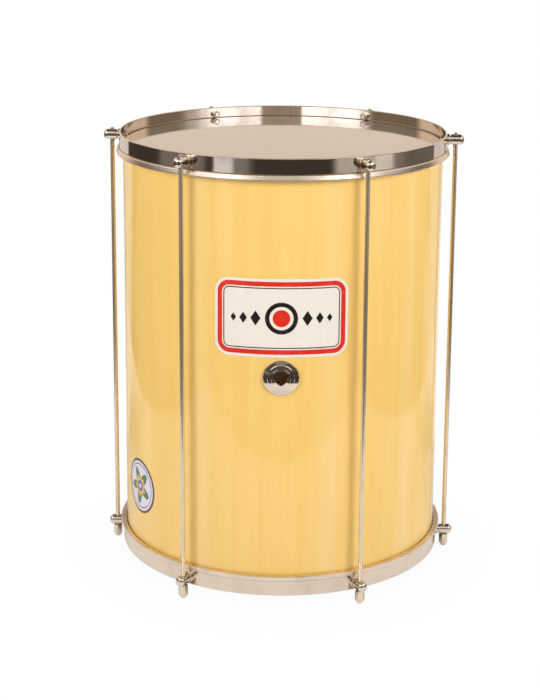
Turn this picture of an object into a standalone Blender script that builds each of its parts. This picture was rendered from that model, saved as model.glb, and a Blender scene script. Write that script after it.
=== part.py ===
"""A 14 inch by 45 cm surdo: a deep two-headed bass drum with six tension rods.

The shell is a plywood tube with a glossy laminate skin. Each head is a film over the shell's edge,
caught in a flesh hoop, and a flat steel hoop presses that down. Six rods join the two hoops. Each
is fixed in a lug pin on the top hoop, passes through one on the bottom hoop, and carries a cap nut
below it. The drum stands on those six nuts. Turning them off lets the top hoop and its rods rise.

+Z is up the drum's axis, the vent and the label face -Y, and the nuts' tips stand on Z = 0.
Sizes are in metres. Radii are from the drum's axis unless their name says otherwise.
"""

import math

import bmesh
import bpy
from mathutils import Matrix, Vector

MM = 0.001

# Shell and its skin
SHELL_RADIUS = 177.8 * MM
SHELL_LENGTH = 450.0 * MM
SKIN_THICKNESS = 0.8 * MM
PLY_THICKNESS = 6.3 * MM
EDGE_ROUND = 2.4 * MM
SKIN_SHORT_OF_EDGE = 3.0 * MM

# Heads
FILM_THICKNESS = 0.25 * MM
FILM_ON_EDGE = 0.12 * MM
FILM_ROUND = 2.4 * MM
FILM_LIP = 3.0 * MM

# Flesh hoops and counterhoops
RIM_ABOVE_EDGE = 12.4 * MM
BAND_HEIGHT = 16.4 * MM
BAND_THICKNESS = 2.0 * MM
BAND_CLEARANCE = 1.9 * MM
BAND_ROUND = 0.5 * MM
RING_HEIGHT = 6.0 * MM
RING_WIDTH = 6.0 * MM
RING_CLEARANCE = 1.4 * MM
RING_ROUND = 1.5 * MM
RING_GROOVE_DEPTH = 2.4 * MM
RING_GROOVE_HEIGHT = 1.1 * MM

# Rods, lug pins and nuts
ROD_COUNT = 6
FIRST_ROD_DEG = -3.0
ROD_STANDOFF = 9.4 * MM
ROD_DIAMETER = 5.0 * MM
ROD_ABOVE_PIN = 2.0 * MM
ROD_IN_NUT = 9.0 * MM
PIN_BELOW_RIM = 7.7 * MM
PIN_DIAMETER = 11.2 * MM
PIN_BODY_INWARD = 5.5 * MM
PIN_BODY_OUTWARD = 6.6 * MM
PIN_DOME = 2.9 * MM
NECK_DIAMETER = 8.6 * MM
NECK_LENGTH = 1.2 * MM
COLLAR_DIAMETER = 12.4 * MM
SHANK_DIAMETER = 5.0 * MM
SHANK_HOLE_CLEARANCE = 0.3 * MM
SHANK_PAST_NUT = 1.4 * MM
LUG_NUT_ACROSS_FLATS = 8.0 * MM
LUG_NUT_THICKNESS = 4.0 * MM
TUNING_NUT_ACROSS_FLATS = 9.0 * MM
TUNING_NUT_LENGTH = 14.4 * MM
TUNING_NUT_HEX_LENGTH = 8.6 * MM
TUNING_NUT_TIP_DIAMETER = 5.6 * MM
TUNING_NUT_BORE_DEPTH = 11.6 * MM
THREAD_CLEARANCE = 0.12 * MM
THREADED_PIN_CLEARANCE = 0.15 * MM
SLIDING_PIN_CLEARANCE = 0.22 * MM

# Vent
VENT_HEIGHT_IN_SHELL = 0.5125
VENT_DEG = -90.0
VENT_DIAMETER = 38.0 * MM
VENT_HOLE_DIAMETER = 13.8 * MM
VENT_TUBE_DIAMETER = 20.0 * MM
VENT_TUBE_LENGTH = 12.0 * MM
VENT_STEP_DIAMETERS = (27.4 * MM, 19.0 * MM)
VENT_FLANGE_THICKNESS = 1.8 * MM
VENT_STEP_HEIGHT = 0.8 * MM
VENT_HOLE_CLEARANCE = 0.6 * MM
VENT_NUT_DIAMETER = 29.0 * MM
VENT_NUT_THICKNESS = 2.6 * MM

# Stickers
STICKER_THICKNESS = 0.25 * MM
LABEL_DEG = -90.0
LABEL_ABOVE_MIDDLE = 69.6 * MM
LABEL_WIDTH = 142.0 * MM
LABEL_HEIGHT = 84.0 * MM
LABEL_CORNER = 16.0 * MM
BADGE_DEG = -151.0
BADGE_ABOVE_MIDDLE = -150.3 * MM
BADGE_DIAMETER = 62.0 * MM

# Gaps and facets
GAP = 0.3 * MM
RING_SEGMENTS = 60
PIN_SEGMENTS = 12
ROD_SEGMENTS = 12
VENT_SEGMENTS = 28

# Levels that follow from the sizes above, from the middle of the shell
EDGE_Z = SHELL_LENGTH / 2
RIM_Z = EDGE_Z + RIM_ABOVE_EDGE
BAND_LOW_Z = RIM_Z - BAND_HEIGHT
RING_TOP_Z = BAND_LOW_Z - GAP
RING_LOW_Z = RING_TOP_Z - RING_HEIGHT
PIN_Z = RIM_Z - PIN_BELOW_RIM
PIN_RADIUS = PIN_DIAMETER / 2
NUT_SEAT_Z = PIN_Z + PIN_RADIUS + GAP
NUT_TIP_Z = NUT_SEAT_Z + TUNING_NUT_LENGTH
MIDDLE = NUT_TIP_Z

BAND_INNER = SHELL_RADIUS + BAND_CLEARANCE
BAND_OUTER = BAND_INNER + BAND_THICKNESS
ROD_CIRCLE_RADIUS = BAND_OUTER + ROD_STANDOFF
RING_INNER = SHELL_RADIUS + RING_CLEARANCE
PLY_OUTER = SHELL_RADIUS - SKIN_THICKNESS - GAP
PLY_INNER = PLY_OUTER - PLY_THICKNESS

# Cosine that takes a facet's corner radius to the radius of its flat
RING_FLAT = math.cos(math.pi / RING_SEGMENTS)
FIRST_CORNER_DEG = FIRST_ROD_DEG + 180.0 / RING_SEGMENTS


def clear_scene():
    for old in list(bpy.data.objects):
        bpy.data.objects.remove(old, do_unlink=True)


def material(name, colour, roughness, metallic, coat=0.0):
    """A Principled material with one colour."""
    made = bpy.data.materials.new(name)
    made.use_nodes = True
    shader = made.node_tree.nodes["Principled BSDF"]
    shader.inputs["Base Color"].default_value = (*colour, 1.0)
    shader.inputs["Roughness"].default_value = roughness
    shader.inputs["Metallic"].default_value = metallic
    shader.inputs["Coat Weight"].default_value = coat
    return made


def mesh_from(bm, name):
    """Turns a bmesh into a mesh with outward normals, smooth over its shallow edges."""
    bmesh.ops.recalc_face_normals(bm, faces=bm.faces[:])
    mesh = bpy.data.meshes.new(name)
    bm.to_mesh(mesh)
    bm.free()
    mesh.shade_smooth()
    mesh.set_sharp_from_angle(angle=math.radians(32))
    return mesh


def place(name, mesh, finish, location=(0, 0, 0), rotation=(0, 0, 0), parent=None):
    """Adds an object for the mesh and gives it its material."""
    made = bpy.data.objects.new(name, mesh)
    bpy.context.scene.collection.objects.link(made)
    if finish is not None:
        mesh.materials.clear()
        mesh.materials.append(finish)
    made.location = location
    made.rotation_euler = rotation
    made.parent = parent
    return made


def turned(name, profile, segments, start_deg=0.0, closed=False):
    """Turns a profile of (radius, height) points round Z.

    An open profile starts and ends on the axis; a closed one makes a ring.
    """
    bm = bmesh.new()
    turns = [math.radians(start_deg) + 2 * math.pi * index / segments for index in range(segments)]
    rings = []
    for radius, height in profile:
        if radius == 0.0:
            rings.append([bm.verts.new((0.0, 0.0, height))])
            continue
        rings.append([bm.verts.new((radius * math.cos(t), radius * math.sin(t), height)) for t in turns])
    pairs = list(zip(rings, rings[1:]))
    if closed:
        pairs.append((rings[-1], rings[0]))
    for first, second in pairs:
        for index in range(segments):
            after = (index + 1) % segments
            corners = [first[index % len(first)], first[after % len(first)]]
            corners += [second[after % len(second)], second[index % len(second)]]
            bm.faces.new(list(dict.fromkeys(corners)))
    return mesh_from(bm, name)


def cutter(name, radius, start, end, segments, turn_deg=0.0):
    """A hidden cylinder between two points that a Boolean takes away."""
    start = Vector(start)
    end = Vector(end)
    bm = bmesh.new()
    bmesh.ops.create_cone(
        bm,
        cap_ends=True,
        segments=segments,
        radius1=radius,
        radius2=radius,
        depth=(end - start).length,
        matrix=Matrix.Rotation(math.radians(turn_deg), 4, "Z"),
    )
    made = place(name, mesh_from(bm, name), None)
    made.location = (start + end) / 2
    made.rotation_euler = (end - start).to_track_quat("Z", "Y").to_euler()
    made.hide_render = True
    made.display_type = "WIRE"
    return made


def cut(target, tool):
    """Adds an exact Boolean difference."""
    made = target.modifiers.new("cut_" + tool.name, "BOOLEAN")
    made.operation = "DIFFERENCE"
    made.solver = "EXACT"
    made.object = tool


def baked(obj, name):
    """The object's shape with its Booleans done, as a mesh of its own that copies can share."""
    bpy.context.view_layer.update()
    graph = bpy.context.evaluated_depsgraph_get()
    mesh = bpy.data.meshes.new_from_object(obj.evaluated_get(graph))
    mesh.name = name
    bpy.data.objects.remove(obj, do_unlink=True)
    return mesh


def around(angle_deg, radius, height):
    """The point at an angle and a radius round the drum's axis."""
    turn = math.radians(angle_deg)
    return Vector((radius * math.cos(turn), radius * math.sin(turn), height))


def rod_angles():
    return [FIRST_ROD_DEG - 360.0 / ROD_COUNT * index for index in range(ROD_COUNT)]


def make_shell(finishes):
    """The plywood tube with rounded edges, its skin, and the vent hole through both."""
    curve = EDGE_ROUND
    ply = [
        (PLY_OUTER, EDGE_Z - curve),
        (PLY_OUTER - 0.3 * curve, EDGE_Z - 0.3 * curve),
        (PLY_OUTER - curve, EDGE_Z),
        (PLY_INNER + 0.4 * curve, EDGE_Z),
        (PLY_INNER, EDGE_Z - 0.4 * curve),
    ]
    ply += [(r, -z) for r, z in reversed(ply)]
    shell = place(
        "shell",
        turned("shell", ply, RING_SEGMENTS, FIRST_CORNER_DEG, closed=True),
        finishes["ply"],
        (0, 0, MIDDLE),
    )
    skin_end = EDGE_Z - SKIN_SHORT_OF_EDGE
    skin_inner = SHELL_RADIUS - SKIN_THICKNESS
    laminate = [
        (SHELL_RADIUS, skin_end),
        (skin_inner, skin_end),
        (skin_inner, -skin_end),
        (SHELL_RADIUS, -skin_end),
    ]
    skin = place(
        "shell_laminate",
        turned("shell_laminate", laminate, RING_SEGMENTS, FIRST_CORNER_DEG, closed=True),
        finishes["laminate"],
        (0, 0, MIDDLE),
    )
    height = MIDDLE + (VENT_HEIGHT_IN_SHELL - 0.5) * SHELL_LENGTH
    hole = cutter(
        "vent_cutter",
        VENT_TUBE_DIAMETER / 2 + VENT_HOLE_CLEARANCE,
        around(VENT_DEG, PLY_INNER - 0.02, height),
        around(VENT_DEG, SHELL_RADIUS + 0.02, height),
        VENT_SEGMENTS,
    )
    cut(shell, hole)
    cut(skin, hole)
    return shell


def film_profile():
    """The head's section from the axis out: over the edge, down the side and into the flesh hoop."""
    low = EDGE_Z + FILM_ON_EDGE
    side = SHELL_RADIUS + GAP
    lip = RING_LOW_Z + RING_HEIGHT * 0.45
    curve = FILM_ROUND
    skin = FILM_THICKNESS
    under = [
        (0.0, low),
        (side - curve, low),
        (side - 0.3 * curve, low - 0.3 * curve),
        (side, low - curve),
        (side, lip),
        (side + FILM_LIP, lip),
    ]
    over = [
        (side + FILM_LIP, lip + skin),
        (side + skin, lip + skin),
        (side + skin, low - curve),
        (side - 0.3 * curve + 0.8 * skin, low - 0.3 * curve + 0.8 * skin),
        (side - curve, low + skin),
        (0.0, low + skin),
    ]
    return under + over


def flesh_hoop_profile():
    """A rounded ring whose inner side has the groove that holds the film's lip."""
    inner = RING_INNER
    outer = inner + RING_WIDTH
    curve = RING_ROUND
    lip = RING_LOW_Z + RING_HEIGHT * 0.45 + FILM_THICKNESS / 2
    half = RING_GROOVE_HEIGHT / 2
    return [
        (inner, RING_TOP_Z),
        (outer - curve, RING_TOP_Z),
        (outer, RING_TOP_Z - curve),
        (outer, RING_LOW_Z + curve),
        (outer - curve, RING_LOW_Z),
        (inner, RING_LOW_Z),
        (inner, lip - half),
        (inner + RING_GROOVE_DEPTH, lip - half),
        (inner + RING_GROOVE_DEPTH, lip + half),
        (inner, lip + half),
    ]


def band_profile():
    """The counterhoop's flat section with its rim eased."""
    curve = BAND_ROUND
    return [
        (BAND_INNER, BAND_LOW_Z),
        (BAND_INNER, RIM_Z - curve),
        (BAND_INNER + curve, RIM_Z),
        (BAND_OUTER - curve, RIM_Z),
        (BAND_OUTER, RIM_Z - curve),
        (BAND_OUTER, BAND_LOW_Z),
    ]


def make_ends(finishes):
    """Both heads, both flesh hoops and both counterhoops, the bottom ones upside down."""
    shapes = {
        "head": (film_profile(), False, "film"),
        "flesh_hoop": (flesh_hoop_profile(), True, "bright"),
        "hoop": (band_profile(), True, "chrome"),
    }
    made = {}
    for end, sign in (("top", 1.0), ("bottom", -1.0)):
        for kind, (profile, closed, finish) in shapes.items():
            name = f"{kind}_{end}"
            points = [(r, sign * z) for r, z in profile]
            mesh = turned(name, points, RING_SEGMENTS, FIRST_CORNER_DEG, closed=closed)
            made[name] = place(name, mesh, finishes[finish], (0, 0, MIDDLE))
        for index, angle in enumerate(rod_angles(), 1):
            height = MIDDLE + sign * PIN_Z
            hole = cutter(
                f"shank_cutter_{end}_{index}",
                SHANK_DIAMETER / 2 + SHANK_HOLE_CLEARANCE,
                around(angle, BAND_INNER - 0.004, height),
                around(angle, BAND_OUTER + 0.004, height),
                PIN_SEGMENTS,
            )
            cut(made[f"hoop_{end}"], hole)
    return made


def lug_pin_mesh(name, hole_clearance):
    """A lug pin along X with its origin where the rod crosses it.

    From the drum out: the shank, a collar on the hoop, a neck, the body and its domed end.
    """
    collar_start = BAND_OUTER + GAP * 0.5 - ROD_CIRCLE_RADIUS
    body_start = -PIN_BODY_INWARD
    collar_end = body_start - NECK_LENGTH
    shank_end = BAND_INNER * RING_FLAT - GAP * 0.5 - LUG_NUT_THICKNESS - SHANK_PAST_NUT - ROD_CIRCLE_RADIUS
    half = PIN_DIAMETER / 2
    profile = [
        (0.0, shank_end),
        (SHANK_DIAMETER / 2, shank_end),
        (SHANK_DIAMETER / 2, collar_start),
        (COLLAR_DIAMETER / 2, collar_start),
        (COLLAR_DIAMETER / 2, collar_end),
        (NECK_DIAMETER / 2, collar_end),
        (NECK_DIAMETER / 2, body_start),
        (half, body_start),
        (half, PIN_BODY_OUTWARD),
        (half * 0.8, PIN_BODY_OUTWARD + PIN_DOME * 0.62),
        (half * 0.42, PIN_BODY_OUTWARD + PIN_DOME * 0.93),
        (0.0, PIN_BODY_OUTWARD + PIN_DOME),
    ]
    mesh = turned(name, profile, PIN_SEGMENTS, 180.0 / PIN_SEGMENTS)
    mesh.transform(Matrix.Rotation(math.pi / 2, 4, "Y"))
    blank = place(name + "_blank", mesh, None)
    hole = cutter(
        name + "_cutter",
        ROD_DIAMETER / 2 + hole_clearance,
        (0, 0, -0.01),
        (0, 0, 0.01),
        ROD_SEGMENTS,
    )
    cut(blank, hole)
    made = baked(blank, name)
    bpy.data.objects.remove(hole, do_unlink=True)
    return made


def lug_nut_mesh(name):
    """A hexagon nut along X, its outer face at the origin and two flats level."""
    bm = bmesh.new()
    flat = LUG_NUT_ACROSS_FLATS / 2
    corner = flat / math.cos(math.pi / 6)
    bore = SHANK_DIAMETER / 2 + THREADED_PIN_CLEARANCE
    rings = []
    for depth, inside in ((0.0, False), (LUG_NUT_THICKNESS, False), (LUG_NUT_THICKNESS, True), (0.0, True)):
        ring = []
        for index in range(12):
            turn = index * math.pi / 6
            radius = bore if inside else (flat if index % 2 else corner)
            ring.append(bm.verts.new((-depth, radius * math.cos(turn), radius * math.sin(turn))))
        rings.append(ring)
    for first, second in zip(rings, rings[1:] + rings[:1]):
        for index in range(12):
            after = (index + 1) % 12
            bm.faces.new((first[index], first[after], second[after], second[index]))
    return mesh_from(bm, name)


def tuning_nut_mesh(name):
    """A long hexagon cap nut hanging down from its seat at the origin, with a blind bore."""
    corner = TUNING_NUT_ACROSS_FLATS / 2 / math.cos(math.pi / 6)
    profile = [
        (0.0, 0.0),
        (corner * 0.9, 0.0),
        (corner, -0.7 * MM),
        (corner, -TUNING_NUT_HEX_LENGTH),
        (TUNING_NUT_TIP_DIAMETER / 2, -TUNING_NUT_LENGTH),
        (0.0, -TUNING_NUT_LENGTH),
    ]
    blank = place(name + "_blank", turned(name, profile, 6), None)
    bore = cutter(
        name + "_cutter",
        ROD_DIAMETER / 2 + THREAD_CLEARANCE,
        (0, 0, -TUNING_NUT_BORE_DEPTH),
        (0, 0, 0.005),
        ROD_SEGMENTS,
    )
    cut(blank, bore)
    made = baked(blank, name)
    bpy.data.objects.remove(bore, do_unlink=True)
    return made


def make_hardware(finishes):
    """The rods, their nuts, and the lug pins with the nuts that hold them in the hoops."""
    rod_top = PIN_Z + PIN_RADIUS + ROD_ABOVE_PIN
    rod_low = -(NUT_SEAT_Z + ROD_IN_NUT)
    ease = 0.4 * MM
    rod = turned(
        "rod",
        [
            (0.0, rod_low),
            (ROD_DIAMETER / 2 - ease, rod_low),
            (ROD_DIAMETER / 2, rod_low + ease),
            (ROD_DIAMETER / 2, rod_top - ease),
            (ROD_DIAMETER / 2 - ease, rod_top),
            (0.0, rod_top),
        ],
        ROD_SEGMENTS,
    )
    tuning_nut = tuning_nut_mesh("tuning_nut")
    lug_nut = lug_nut_mesh("lug_nut")
    pins = {
        "top": lug_pin_mesh("lug_top", THREADED_PIN_CLEARANCE),
        "bottom": lug_pin_mesh("lug_bottom", SLIDING_PIN_CLEARANCE),
    }
    nut_face = BAND_INNER * RING_FLAT - GAP * 0.5
    for index, angle in enumerate(rod_angles(), 1):
        facing = (0, 0, math.radians(angle))
        place(f"rod_{index}", rod, finishes["rod"], around(angle, ROD_CIRCLE_RADIUS, MIDDLE), facing)
        seat = around(angle, ROD_CIRCLE_RADIUS, MIDDLE - NUT_SEAT_Z)
        place(f"tuning_nut_{index}", tuning_nut, finishes["nut"], seat, facing)
        for end, sign in (("top", 1.0), ("bottom", -1.0)):
            height = MIDDLE + sign * PIN_Z
            crossing = around(angle, ROD_CIRCLE_RADIUS, height)
            place(f"lug_{end}_{index}", pins[end], finishes["chrome"], crossing, facing)
            inside = around(angle, nut_face, height)
            place(f"lug_nut_{end}_{index}", lug_nut, finishes["bright"], inside, facing)


def make_vent(finishes):
    """The stepped grommet and, inside the shell, the ring nut on its tube."""
    hole = VENT_HOLE_DIAMETER / 2
    tube = VENT_TUBE_DIAMETER / 2
    rim = VENT_DIAMETER / 2
    outer_step, inner_step = (size / 2 for size in VENT_STEP_DIAMETERS)
    first = GAP + VENT_FLANGE_THICKNESS
    second = first + VENT_STEP_HEIGHT
    third = second + VENT_STEP_HEIGHT
    grommet = [
        (hole, -VENT_TUBE_LENGTH),
        (tube, -VENT_TUBE_LENGTH),
        (tube, GAP),
        (rim, GAP),
        (rim, GAP + VENT_FLANGE_THICKNESS * 0.45),
        (rim - 1.2 * MM, first),
        (outer_step + 0.3 * MM, first),
        (outer_step, second),
        (inner_step + 0.3 * MM, second),
        (inner_step, third),
        (hole + 0.6 * MM, third),
        (hole, third - 0.6 * MM),
    ]
    height = MIDDLE + (VENT_HEIGHT_IN_SHELL - 0.5) * SHELL_LENGTH
    outward = (math.pi / 2, 0, math.radians(VENT_DEG + 90.0))
    place(
        "vent_grommet",
        turned("vent_grommet", grommet, VENT_SEGMENTS, closed=True),
        finishes["chrome"],
        around(VENT_DEG, SHELL_RADIUS, height),
        outward,
    )
    outer = VENT_NUT_DIAMETER / 2
    inner = tube + GAP
    nut = [
        (inner, 0.0),
        (inner, -VENT_NUT_THICKNESS),
        (outer - 0.6 * MM, -VENT_NUT_THICKNESS),
        (outer, -VENT_NUT_THICKNESS + 0.6 * MM),
        (outer, 0.0),
    ]
    reach = (PLY_INNER * RING_FLAT - GAP * 0.5) ** 2 - outer**2
    place(
        "vent_ring_nut",
        turned("vent_ring_nut", nut, VENT_SEGMENTS, closed=True),
        finishes["bright"],
        around(VENT_DEG, math.sqrt(reach), height),
        outward,
    )


def sticker_mesh(name, width, half_height_at, columns):
    """A thin sheet bent round the skin, its middle on +X and its outline from a half-height rule."""
    bm = bmesh.new()
    inner = SHELL_RADIUS + STICKER_THICKNESS * 0.6
    outer = inner + STICKER_THICKNESS
    rings = []
    for index in range(columns + 1):
        along = -math.cos(math.pi * index / columns)
        along *= 0.5 * width * 0.992
        half = half_height_at(along)
        turn = along / SHELL_RADIUS
        corners = ((outer, half), (outer, -half), (inner, -half), (inner, half))
        rings.append([bm.verts.new((r * math.cos(turn), r * math.sin(turn), z)) for r, z in corners])
    for left, right in zip(rings, rings[1:]):
        for corner in range(4):
            after = (corner + 1) % 4
            bm.faces.new((left[corner], right[corner], right[after], left[after]))
    bm.faces.new(rings[0])
    bm.faces.new(reversed(rings[-1]))
    return mesh_from(bm, name)


def rounded_box(width, height, corner):
    """The half-height of a rounded rectangle at a distance along its width."""

    def half_height(along):
        past = abs(along) - (width / 2 - corner)
        if past <= 0:
            return height / 2
        return height / 2 - corner + math.sqrt(max(corner**2 - past**2, 0.0))

    return half_height


def make_stickers(finishes):
    """The label above the vent and the small round badge low on the left."""
    label = sticker_mesh(
        "front_label",
        LABEL_WIDTH,
        rounded_box(LABEL_WIDTH, LABEL_HEIGHT, LABEL_CORNER),
        20,
    )
    place(
        "front_label",
        label,
        finishes["label"],
        (0, 0, MIDDLE + LABEL_ABOVE_MIDDLE),
        (0, 0, math.radians(LABEL_DEG)),
    )
    badge = sticker_mesh(
        "side_badge",
        BADGE_DIAMETER,
        rounded_box(BADGE_DIAMETER, BADGE_DIAMETER, BADGE_DIAMETER / 2),
        16,
    )
    place(
        "side_badge",
        badge,
        finishes["badge"],
        (0, 0, MIDDLE + BADGE_ABOVE_MIDDLE),
        (0, 0, math.radians(BADGE_DEG)),
    )


def main():
    clear_scene()
    finishes = {
        "ply": material("birch_ply", (0.62, 0.43, 0.22), 0.6, 0.0),
        "laminate": material("yellow_laminate", (0.90, 0.62, 0.20), 0.16, 0.0, 0.6),
        "film": material("head_film", (0.72, 0.62, 0.50), 0.35, 0.0),
        "chrome": material("chrome", (0.78, 0.76, 0.73), 0.08, 1.0),
        "bright": material("zinc_plate", (0.75, 0.72, 0.66), 0.25, 1.0),
        "rod": material("plated_rod", (0.66, 0.62, 0.56), 0.18, 1.0),
        "nut": material("plated_brass", (0.80, 0.66, 0.46), 0.25, 1.0),
        "label": material("printed_label", (0.86, 0.84, 0.82), 0.3, 0.0),
        "badge": material("printed_badge", (0.55, 0.55, 0.50), 0.3, 0.0),
    }
    make_shell(finishes)
    make_ends(finishes)
    make_hardware(finishes)
    make_vent(finishes)
    make_stickers(finishes)


main()
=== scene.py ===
"""The looks of a 14 inch by 45 cm surdo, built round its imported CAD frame.

Each sub-assembly of the drum is a class that holds its sizes, builds its meshes and dresses them.
Lengths are in metres, in the frame of the CAD: +Z up the drum's axis, the vent and the label
towards -Y, and the tips of the tuning nuts on Z = 0.
"""

import logging
import math
from dataclasses import dataclass
from enum import Enum
from typing import Iterable, Sequence, Union

import bmesh
import bpy
from mathutils import Matrix, Vector


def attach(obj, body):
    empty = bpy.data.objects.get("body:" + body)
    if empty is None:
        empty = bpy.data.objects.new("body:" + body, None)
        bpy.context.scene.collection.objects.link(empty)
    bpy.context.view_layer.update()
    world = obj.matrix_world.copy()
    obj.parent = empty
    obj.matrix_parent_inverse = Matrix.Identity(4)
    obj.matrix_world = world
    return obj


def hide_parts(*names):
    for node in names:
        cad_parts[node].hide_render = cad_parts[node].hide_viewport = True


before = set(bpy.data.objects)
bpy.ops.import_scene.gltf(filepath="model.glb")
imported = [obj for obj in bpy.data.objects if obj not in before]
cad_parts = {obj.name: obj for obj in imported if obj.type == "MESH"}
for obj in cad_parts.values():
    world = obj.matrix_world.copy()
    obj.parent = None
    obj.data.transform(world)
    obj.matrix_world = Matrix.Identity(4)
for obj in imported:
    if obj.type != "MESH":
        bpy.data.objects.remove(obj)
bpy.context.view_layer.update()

LOG = logging.getLogger("surdo")
MM = 0.001
QUARTER = math.pi / 2.0
GUARD = 1.15

Colour = tuple[float, float, float]
Profile = list[tuple[float, float]]
Corner = tuple[float, float, float]
Number = Union["Value", float]


class Body(Enum):
    """The bodies of the frame that a piece can ride on."""

    DRUM = "drum"
    TOP_HOOP = "top_hoop"


class End(Enum):
    """The two ends of the drum, with the sign of their height from the middle."""

    TOP = 1.0
    BOTTOM = -1.0

    @property
    def word(self) -> str:
        """The end's name as the nodes have it."""
        return self.name.lower()


@dataclass(frozen=True)
class DrumFrame:
    """Sizes that several sub-assemblies share. Heights are from the middle of the shell."""

    middle: float = 250.0 * MM
    shell_radius: float = 177.8 * MM
    shell_edge: float = 225.0 * MM
    rim: float = 237.4 * MM
    band_low: float = 221.0 * MM
    band_inner: float = 179.7 * MM
    band_outer: float = 181.7 * MM
    ring_top: float = 220.7 * MM
    ring_low: float = 214.7 * MM
    pin_height: float = 229.7 * MM
    rod_circle: float = 191.1 * MM
    rod_count: int = 6
    first_rod: float = math.radians(-3.0)
    weld: float = math.radians(87.3)
    vent: float = 255.6 * MM

    @property
    def rod_step(self) -> float:
        """The turn from one rod to the next."""
        return -2.0 * math.pi / self.rod_count

    def numbered(self, stem: str) -> list[str]:
        """The names of the nodes that come once for each rod."""
        return [f"{stem}_{index}" for index in range(1, self.rod_count + 1)]


DRUM = DrumFrame()


def linear(red: int, green: int, blue: int) -> Colour:
    """Turns a colour in screen values from 0 to 255 into linear light.

    Args:
        red: the red value.
        green: the green value.
        blue: the blue value.

    Returns:
        The three linear values.
    """

    def one(value: int) -> float:
        """One channel in linear light."""
        share = value / 255.0
        return share / 12.92 if share <= 0.04045 else ((share + 0.055) / 1.055) ** 2.4

    return one(red), one(green), one(blue)


class Value:
    """A socket of a node tree that takes part in sums as a number does."""

    def __init__(self, net: "Net", socket: bpy.types.NodeSocket) -> None:
        """Keeps the tree and the socket."""
        self.net = net
        self.socket = socket

    def __add__(self, other: Number) -> "Value":
        """The sum."""
        return self.net.maths("ADD", self, other)

    def __sub__(self, other: Number) -> "Value":
        """The difference."""
        return self.net.maths("SUBTRACT", self, other)

    def __mul__(self, other: Number) -> "Value":
        """The product."""
        return self.net.maths("MULTIPLY", self, other)

    def __truediv__(self, other: Number) -> "Value":
        """The quotient."""
        return self.net.maths("DIVIDE", self, other)

    def __abs__(self) -> "Value":
        """The value without its sign."""
        return self.net.maths("ABSOLUTE", self)

    def ramp(self, low: float, high: float) -> "Value":
        """The value spread from 0 to 1 onto low to high."""
        return self.net.out(self.net.add("ShaderNodeMapRange", {0: self, 3: low, 4: high}))

    def step(self, low: Number, high: Number) -> "Value":
        """A smooth step from 0 at low to 1 at high, where low may be the greater."""
        inputs = {0: self, 1: low, 2: high, 3: 0.0, 4: 1.0}
        return self.net.out(self.net.add("ShaderNodeMapRange", inputs, interpolation_type="SMOOTHSTEP"))

    def band(self, low: float, high: float, soft: float, fade: float | None = None) -> "Value":
        """A mask that is 1 between two values and fades out past them over soft widths."""
        return self.step(low - soft, low) * self.step(high + (soft if fade is None else fade), high)


class Net:
    """A thin layer over a node tree that adds nodes and links in one call."""

    def __init__(self, tree: bpy.types.NodeTree) -> None:
        """Keeps the tree."""
        self.tree = tree

    def feed(self, socket: bpy.types.NodeSocket, value: object) -> None:
        """Links a socket to the value, or sets it where the value is plain."""
        if isinstance(value, Value):
            self.tree.links.new(value.socket, socket)
        elif socket.type == "RGBA" and len(value) == 3:
            socket.default_value = (*value, 1.0)
        else:
            socket.default_value = value

    def add(self, kind: str, inputs: dict | None = None, **settings: object) -> bpy.types.Node:
        """Adds a node.

        Args:
            kind: the node's type name.
            inputs: socket names or numbers, with a value to set or link.
            settings: attributes of the node.

        Returns:
            The new node.
        """
        node = self.tree.nodes.new(kind)
        for name, value in settings.items():
            setattr(node, name, value)
        for key, value in (inputs or {}).items():
            self.feed(node.inputs[key], value)
        return node

    def out(self, node: bpy.types.Node, key: int | str = 0) -> Value:
        """One of a node's outputs."""
        return Value(self, node.outputs[key])

    def maths(self, operation: str, first: Number, second: Number = 0.0) -> Value:
        """A Math node's result."""
        return self.out(self.add("ShaderNodeMath", {0: first, 1: second}, operation=operation))

    def mix(self, share: Number, first: Value | Colour, second: Value | Colour) -> Value:
        """A mix of two colours."""
        node = self.add("ShaderNodeMix", {0: share}, data_type="RGBA")
        self.feed(node.inputs[6], first)
        self.feed(node.inputs[7], second)
        return self.out(node, 2)

    def noise(self, place: Value, scale: Number, detail: float = 3.0, roughness: float = 0.5) -> Value:
        """A noise value at a place."""
        inputs = {"Vector": place, "Scale": scale, "Detail": detail, "Roughness": roughness}
        return self.out(self.add("ShaderNodeTexNoise", inputs), "Fac")

    def vector(self, operation: str, first: Value, factors: Sequence[Number]) -> Value:
        """A vector changed by one number for each axis."""
        second = self.out(self.add("ShaderNodeCombineXYZ", dict(enumerate(factors))))
        return self.out(self.add("ShaderNodeVectorMath", {0: first, 1: second}, operation=operation))

    def place(self) -> Value:
        """The place in Object coordinates."""
        return self.out(self.add("ShaderNodeTexCoord"), "Object")

    def parts(self, vector: Value) -> tuple[Value, Value, Value]:
        """The three parts of a vector."""
        node = self.add("ShaderNodeSeparateXYZ", {0: vector})
        return self.out(node, 0), self.out(node, 1), self.out(node, 2)

    def radius(self) -> Value:
        """The distance from the drum's axis."""
        across, along, _ = self.parts(self.place())
        return self.maths("SQRT", across * across + along * along)

    def around(self, angle: float) -> Value:
        """The turn about the drum's axis from an angle, in radians."""
        inputs = {"Vector": self.place(), "Angle": -angle}
        node = self.add("ShaderNodeVectorRotate", inputs, rotation_type="Z_AXIS")
        across, along, _ = self.parts(self.out(node))
        return self.maths("ARCTAN2", along, across)


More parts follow.
